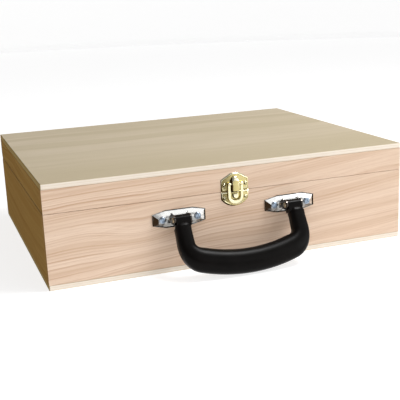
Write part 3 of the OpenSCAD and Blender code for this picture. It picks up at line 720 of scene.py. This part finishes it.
def make_bracket(side):
    """A pressed, plated bracket: a plate with a thin raised rim, bevelled up to a low flat, and two ears."""
    name = "handle_bracket_" + ("left" if side < 0 else "right")
    centre = Vector((side * pivot_x, front_y, middle("bracket_screws").z))
    place = Matrix.Translation(centre)
    bm = bmesh.new()
    levels = [(bracket_foot, 0.0, 0.0), (bracket_foot, 1.1 * mm, 0.0), (bracket_groove, 0.45 * mm, -0.4 * mm),
              (bracket_flat, bracket_rise, -1.2 * mm)]
    add_loft(bm, [[place @ Vector((x, -out, z + lift)) for x, z in octagon(size)]
                  for size, out, lift in levels])
    round_edges(bm, 0.3 * mm, 3, 12)
    ear_r, ear_t, ear_gap = 4.6 * mm, 1.2 * mm, 13.8 * mm
    reach = front_y - pivot.y
    rise = pivot.z - centre.z
    for ear in (-1, 1):
        curve = [(2.2 * mm, rise + ear_r + 0.6 * mm), (4.2 * mm, rise + ear_r)]
        curve += arc_points((reach, rise), ear_r, math.pi / 2, -math.pi / 2, 17)
        curve += [(4.2 * mm, rise - ear_r), (2.2 * mm, rise - ear_r - 0.6 * mm)]
        faces = (ear * ear_gap / 2, ear * (ear_gap / 2 + ear_t))
        near, far = ([place @ Vector((x, -out, z)) for out, z in curve] for x in faces)
        add_slab(bm, near, far, 0.3 * mm)
    even_shading(finished(name + "_plated", to_mesh(name, bm), chrome, "base", [name], 30))


def make_rivet(side):
    """The pin's two domed heads outside the ears."""
    name = "handle_pin_" + ("left" if side < 0 else "right")
    bm = bmesh.new()
    reach = high(name).x - middle(name).x
    dome = [(r * mm, out * mm) for r, out in ((2.4, 0), (2.4, 0.35), (2.1, 0.75), (1.4, 0.97), (0.5, 1.03))]
    for end in (-1, 1):
        place = Matrix.Translation(middle(name) + Vector((end * (reach - 1.0 * mm), 0, 0)))
        add_lathe(bm, dome, place @ Matrix.Rotation(end * math.pi / 2, 4, "Z"))
    add_lathe(bm, [(1.5 * mm, -reach + 0.5 * mm), (1.5 * mm, reach - 0.5 * mm)],
              Matrix.Translation(middle(name)) @ Matrix.Rotation(math.pi / 2, 4, "Z"))
    finished(name + "_riveted", to_mesh(name, bm), aged_steel, "base", [name])


def make_screws():
    """Pan head cross-recess screws."""
    head_r, head_h = 3.2 * mm, 2.0 * mm
    lowest, highest = low("bracket_screws"), high("bracket_screws")
    level = (lowest.z + highest.z) / 2
    inner = 2 * pivot_x - (highest.x - head_r)
    face = front_y - bracket_rise
    skirt = 0.5 * mm
    dome = [(head_r, -1.2 * mm), (head_r, 0)]
    dome += [(head_r * math.cos(t), skirt + (head_h - skirt) * math.sin(t)) for t in np.linspace(0, 1.45, 10)]
    slot_half = (1.9 * mm, 0.36 * mm)
    bm, cutters = bmesh.new(), bmesh.new()
    for x in (highest.x - head_r, inner, -inner, -(highest.x - head_r)):
        place = Matrix.Translation((x, face, level))
        add_lathe(bm, dome, place)
        for turn in (0.4, 0.4 + math.pi / 2):
            slot_box = add_block(cutters, (-slot_half[0], -head_h - 1 * mm, -slot_half[1]),
                                 (slot_half[0], -head_h * 0.45, slot_half[1]))
            bmesh.ops.transform(cutters, matrix=place @ Matrix.Rotation(turn, 4, "Y"), verts=slot_box)
    screws = finished("bracket_screw_heads", to_mesh("bracket_screw_heads", bm), zinc, "base",
                      ["bracket_screws"])
    cut = bpy.data.objects.new("cut", to_mesh("cut", cutters))
    scene.collection.objects.link(cut)
    modifier = screws.modifiers.new("recess", "BOOLEAN")
    modifier.operation = "DIFFERENCE"
    modifier.object = cut
    modifier.use_self = True
    carved = bpy.data.meshes.new_from_object(screws.evaluated_get(bpy.context.evaluated_depsgraph_get()))
    screws.modifiers.clear()
    screws.data = carved
    bpy.data.objects.remove(cut)
    carved.set_sharp_from_angle(angle=math.radians(32))


for side in (-1, 1):
    make_bracket(side)
    make_rivet(side)
make_screws()

# ---- Latch ----

latch_t = 0.8 * mm
latch_out = front_y - latch_t


def inset_outline(outline, inset):
    """A convex outline, anticlockwise or clockwise, moved inwards."""
    centre = Vector((sum(x for x, z in outline), sum(z for x, z in outline))) / len(outline)
    moved = []
    for i, point in enumerate(outline):
        here, before, after = Vector(point), Vector(outline[i - 1]), Vector(outline[(i + 1) % len(outline)])
        normals = []
        for start, end in ((before, here), (here, after)):
            side = Vector((start.y - end.y, end.x - start.x)).normalized()
            normals.append(side if side.dot(centre - here) > 0 else -side)
        moved.append(here + (normals[0] + normals[1]) * inset / (1 + normals[0].dot(normals[1])))
    return moved


def make_plate(name, outline, extra):
    """A stamped plate with a rolled bead round its edge, and what is raised on it."""
    bead = [(0, 0), (0, 0.12), (0.35, 0.5), (0.8, 0.9), (1.15, 1.08), (1.4, 1.1), (1.65, 1.02), (1.9, 0.88),
            (2.1, 0.8)]
    bm = bmesh.new()
    add_loft(bm, [[Vector((x, front_y - out * mm, z)) for x, z in inset_outline(outline, inset * mm)]
                  for inset, out in bead])
    extra(bm)
    body = "lid" if "hasp" in name else "base"
    mesh = to_mesh(name, bm)
    even_shading(finished(name + "_stamped", mesh, bright_brass, body, [name], 40))


def keeper_outline():
    """The lower plate: straight along the seam and round below."""
    lowest, highest = low("latch_keeper_plate"), high("latch_keeper_plate")
    half, drop = highest.x, highest.z - lowest.z
    foot = 7 * mm
    radius = (half ** 2 + foot ** 2) / (2 * foot)
    sweep = math.asin(half / radius)
    centre = (0, highest.z - drop + radius)
    return [(half, highest.z), (-half, highest.z)] + \
        arc_points(centre, radius, -math.pi / 2 - sweep, -math.pi / 2 + sweep, 33)


def hasp_outline():
    """The upper plate: straight along the seam, with shoulders up to a narrow crown."""
    lowest, highest = low("latch_hasp_plate"), high("latch_hasp_plate")
    half, crown, shoulder = highest.x, 4 * mm, highest.z - 5.4 * mm
    return [(-half, lowest.z), (half, lowest.z), (half, shoulder), (crown, highest.z), (-crown, highest.z),
            (-half, shoulder)]


def add_catch(bm):
    """The domed tongue that the loop drops over."""
    level = seam_z - 4.7 * mm
    half, out = 2.5 * mm, 3.4 * mm
    rings = []
    for f in np.linspace(0, 1, 9):
        shrink = 1 - 0.55 * f ** 3
        depth = out * math.sin(f * math.pi / 2)
        outline = arc_points((0, 0), half * shrink, math.pi, tau, 17) + \
            [(half * shrink, half * shrink), (-half * shrink, half * shrink)]
        rings.append([Vector((x, latch_out - depth + f * (z + half) / 2.2, level + z)) for x, z in outline])
    add_loft(bm, rings)


def add_hump(bm):
    """The pressed hump over the loop's pin, domed at its top."""
    foot_z, dome_z = low("latch_hasp_plate").z, low("latch_hasp_plate").z + 9.8 * mm
    half, rise = 4.5 * mm, 3.9 * mm
    rings = []
    levels = [(foot_z, 0.94), (foot_z + 0.3 * mm, 1.0), (dome_z - 0.6 * mm, 1.0)]
    dome = [(0, 0.985), (0.6, 0.93), (1.4, 0.83), (2.2, 0.73), (2.9, 0.62), (3.5, 0.49), (3.9, 0.34),
            (4.15, 0.1)]
    levels += [(dome_z + up * mm, share) for up, share in dome]
    for z, share in levels:
        half_ring = [oval_point(t, (half * share, rise * share), 2.9) for t in np.linspace(0, math.pi, 25)]
        rings.append([Vector((x, front_y - 0.4 * mm - y, z)) for x, y in half_ring])
    add_loft(bm, rings)


def make_loop():
    """The loop: a rounded bar bent into a U, broader at its foot, with an eye at the top of each arm."""
    pin = joint_place("loop_swing")
    lowest, highest = low("latch_loop"), high("latch_loop")
    outer = highest.x
    arm_w, arm_t = 2.6 * mm, 1.5 * mm
    bend = outer - arm_w / 2
    centre_z = lowest.z + outer
    path = [((bend, pin.z - f * (pin.z - centre_z)), 0.0) for f in np.linspace(0, 1, 8)[:-1]]
    path += [((0, centre_z), t) for t in np.linspace(0, math.pi, 33)]
    path += [((-bend, centre_z + f * (pin.z - centre_z)), math.pi) for f in np.linspace(0, 1, 8)[1:]]
    bm = bmesh.new()
    rings, sides = [], 20
    for (x, z), a in path:
        width = arm_w + 1.3 * mm * math.sin(a) ** 2
        middle_r = outer - width / 2 if x == 0 else 0.0
        ring = []
        for i in range(sides):
            u, v = oval_point(tau * i / sides, (width / 2, arm_t / 2), 2.3)
            reach = middle_r + u
            ring.append(Vector((x + reach * math.cos(a), pin.y + v, z - reach * math.sin(a))))
        rings.append(ring)
    add_loft(bm, rings)
    eye = [(1.2 * mm, 0), (1.45 * mm, 0.12 * mm), (1.55 * mm, 0.35 * mm)]
    eye += [(radius, arm_w - out) for radius, out in reversed(eye)]
    for side in (-1, 1):
        place = Matrix.Translation((side * (bend - arm_w / 2), pin.y, pin.z)) @ \
            Matrix.Rotation(side * math.pi / 2, 4, "Z")
        add_lathe(bm, eye, place, 24)
    mesh = to_mesh("latch_loop_bar", bm)
    finished("latch_loop_bar", mesh, polished_brass, "loop", ["latch_loop"], 50)


def make_loop_pin():
    """The pin that the loop turns on, with chamfered ends."""
    reach = high("latch_pin").x
    profile = [(0.45 * mm, -reach), (0.75 * mm, -reach + 0.25 * mm)]
    profile += [(radius, -out) for radius, out in reversed(profile)]
    bm = bmesh.new()
    place = Matrix.Translation(joint_place("loop_swing")) @ Matrix.Rotation(math.pi / 2, 4, "Z")
    add_lathe(bm, profile, place, 20)
    finished("latch_pin_turned", to_mesh("latch_pin", bm), bright_brass, "lid", ["latch_pin"])


def make_nails(node, body):
    """Round nails, each with a domed head in a small raised collar."""
    ring_r, ring_h = 2.0 * mm, 0.45 * mm
    head_r, head_h, head_foot = 1.0925 * mm, 0.6325 * mm, 0.2 * mm
    profile = [(ring_r, -0.1 * mm), (ring_r, 0.2 * mm), (1.85 * mm, 0.38 * mm), (1.6 * mm, ring_h),
               (1.32 * mm, 0.28 * mm), (1.2 * mm, 0.12 * mm), (head_r, head_foot)]
    profile += [(head_r * math.cos(t), head_foot + head_h * math.sin(t)) for t in np.linspace(0.2, 1.45, 7)]
    centre = middle(node)
    reach = high(node).x - ring_r
    bm = bmesh.new()
    for side in (-1, 1):
        add_lathe(bm, profile, Matrix.Translation((side * reach, latch_out, centre.z)), 28)
    finished(node + "_driven", to_mesh(node, bm), bright_brass, body, [node])


make_plate("latch_keeper_plate", keeper_outline(), add_catch)
make_plate("latch_hasp_plate", hasp_outline(), add_hump)
make_loop()
make_loop_pin()
make_nails("latch_keeper_nails", "base")
make_nails("latch_hasp_nails", "lid")

# ---- Stage, camera and light ----

def make_stage():
    """A round pale floor that curves up into a backdrop all round, far from the case."""
    flat_radius, curve_radius, steps = 3.0, 1.2, 10
    profile = [(flat_radius, 0)]
    profile += [(flat_radius + curve_radius * math.sin(t), curve_radius * (1 - math.cos(t)))
                for t in np.linspace(0, math.pi / 2, steps)[1:]]
    bm = bmesh.new()
    sides = 96
    turns = [tau * i / sides for i in range(sides)]
    rings = [[bm.verts.new((r * math.cos(t), r * math.sin(t), z)) for t in turns] for r, z in profile]
    bm.faces.new(rings[0])
    for lower, upper in zip(rings, rings[1:]):
        for i in range(sides):
            j = (i + 1) % sides
            bm.faces.new((lower[i], lower[j], upper[j], upper[i]))
    mesh = bpy.data.meshes.new("studio_floor")
    bm.to_mesh(mesh)
    bm.free()
    mesh.shade_smooth()
    mesh.polygons[0].use_smooth = False
    paper = Shader("studio_floor", Roughness=0.9)
    paper.set(Base_Color=(0.5, 0.5, 0.5, 1), Specular_IOR_Level=0.1)
    paper.set(Emission_Color=(1, 1, 1, 1), Emission_Strength=0.75)
    mesh.materials.append(paper.material)
    floor = bpy.data.objects.new("studio_floor", mesh)
    scene.collection.objects.link(floor)


def make_camera():
    """The camera stands left of the front face and looks down a little, tilted by a small roll."""
    azimuth, elevation, roll = (math.radians(a) for a in (-19.41, 14.6, -2.4))
    distance = 0.7318
    aim = Vector((-0.0338, front_y, 0.0639))
    back = Vector((math.sin(azimuth) * math.cos(elevation), -math.cos(azimuth) * math.cos(elevation),
                   math.sin(elevation)))
    right = Vector((0, 0, 1)).cross(back).normalized()
    up = back.cross(right)
    turned_right = math.cos(roll) * right + math.sin(roll) * up
    turned_up = math.cos(roll) * up - math.sin(roll) * right
    data = bpy.data.cameras.new("camera")
    data.lens = 73.2
    data.sensor_width = 36
    camera = bpy.data.objects.new("camera", data)
    axes = Matrix((turned_right, turned_up, back)).transposed().to_4x4()
    camera.matrix_world = Matrix.Translation(aim + back * distance) @ axes
    scene.collection.objects.link(camera)
    scene.camera = camera


def soft_light(name, place, aim, size, watts):
    """A rectangular white softbox at a place, turned to face another."""
    data = bpy.data.lights.new(name, "AREA")
    data.shape = "RECTANGLE"
    data.size, data.size_y = size
    data.energy = watts
    light = bpy.data.objects.new(name, data)
    light.location = place
    light.rotation_euler = (Vector(aim) - Vector(place)).to_track_quat("-Z", "Y").to_euler()
    scene.collection.objects.link(light)


def make_world():
    """Even white light from all round, weaker than the softboxes."""
    world = bpy.data.worlds.new("studio")
    world.use_nodes = True
    background = world.node_tree.nodes["Background"]
    background.inputs["Color"].default_value = (1, 1, 1, 1)
    background.inputs["Strength"].default_value = 0.25
    scene.world = world


make_stage()
make_camera()
make_world()
scene.view_settings.view_transform = "Standard"
soft_light("key", (0.56, -1.38, 0.92), (0, -0.14, 0.05), (0.85, 0.6), 1.3)
soft_light("fill", (1.25, -1.1, 0.6), (0, -0.1, 0.05), (1.1, 0.9), 5.7)
soft_light("overhead", (0.62, -0.32, 1.3), (0, 0, 0), (0.5, 0.36), 12.8)
